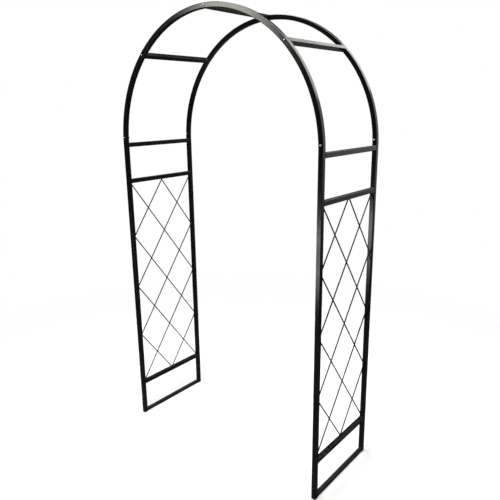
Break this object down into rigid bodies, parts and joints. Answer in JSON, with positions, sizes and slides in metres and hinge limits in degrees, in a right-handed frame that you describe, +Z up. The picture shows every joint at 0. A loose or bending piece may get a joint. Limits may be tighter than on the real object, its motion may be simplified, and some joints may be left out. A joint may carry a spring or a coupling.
{
  "type": "garden arch",
  "caption": "Free-standing walk-through garden arch of square steel tube, with wire lattice sides for climbing plants and a half-round top joined by cross bars.",
  "frame": {"origin": "on the ground, midway between the four feet", "axes": "+X across the passage from the left side frame to the right one, +Y along the passage from front to back, +Z up"},
  "size_m": [1.22, 0.4862, 2.2],
  "materials": {
    "post_paint": "semi-gloss black powder coat on square steel tube",
    "bar_paint": "semi-gloss black powder coat on square steel tube",
    "bottom_bar_paint": "semi-gloss black powder coat, a little duller near the ground",
    "wire_paint": "semi-gloss black powder coat on round steel wire",
    "rail_paint": "semi-gloss black powder coat on bent square steel tube",
    "cross_bar_paint": "semi-gloss black powder coat on square steel tube",
    "insert_steel": "plain steel, hidden inside the joint",
    "bolt_zinc": "zinc-plated steel",
    "screw_zinc": "zinc-plated steel",
    "nut_zinc": "zinc-plated steel"
  },
  "bodies": {
    "root": {"arch_cross_bar_left": "cross_bar_paint", "arch_cross_bar_right": "cross_bar_paint", "arch_cross_bar_top": "cross_bar_paint", "arch_rail_back": "rail_paint", "arch_rail_front": "rail_paint", "bottom_bar_left": "bottom_bar_paint", "bottom_bar_right": "bottom_bar_paint", "cross_bar_screw_back_left": "screw_zinc", "cross_bar_screw_back_right": "screw_zinc", "cross_bar_screw_back_top": "screw_zinc", "cross_bar_screw_front_left": "screw_zinc", "cross_bar_screw_front_right": "screw_zinc", "cross_bar_screw_front_top": "screw_zinc", "joint_bolt_back_left": "bolt_zinc", "joint_bolt_back_right": "bolt_zinc", "joint_bolt_front_left": "bolt_zinc", "joint_bolt_front_right": "bolt_zinc", "joint_insert_back_left": "insert_steel", "joint_insert_back_right": "insert_steel", "joint_insert_front_left": "insert_steel", "joint_insert_front_right": "insert_steel", "joint_nut_back_left": "nut_zinc", "joint_nut_back_right": "nut_zinc", "joint_nut_front_left": "nut_zinc", "joint_nut_front_right": "nut_zinc", "lattice_wire_left_falling_1": "wire_paint", "lattice_wire_left_falling_2": "wire_paint", "lattice_wire_left_falling_3": "wire_paint", "lattice_wire_left_falling_4": "wire_paint", "lattice_wire_left_falling_5": "wire_paint", "lattice_wire_left_rising_1": "wire_paint", "lattice_wire_left_rising_2": "wire_paint", "lattice_wire_left_rising_3": "wire_paint", "lattice_wire_left_rising_4": "wire_paint", "lattice_wire_left_rising_5": "wire_paint", "lattice_wire_right_falling_1": "wire_paint", "lattice_wire_right_falling_2": "wire_paint", "lattice_wire_right_falling_3": "wire_paint", "lattice_wire_right_falling_4": "wire_paint", "lattice_wire_right_falling_5": "wire_paint", "lattice_wire_right_rising_1": "wire_paint", "lattice_wire_right_rising_2": "wire_paint", "lattice_wire_right_rising_3": "wire_paint", "lattice_wire_right_rising_4": "wire_paint", "lattice_wire_right_rising_5": "wire_paint", "lower_lattice_bar_left": "bar_paint", "lower_lattice_bar_right": "bar_paint", "post_back_left": "post_paint", "post_back_right": "post_paint", "post_front_left": "post_paint", "post_front_right": "post_paint", "top_bar_left": "bar_paint", "top_bar_right": "bar_paint", "upper_lattice_bar_left": "bar_paint", "upper_lattice_bar_right": "bar_paint"}
  },
  "joints": []
}
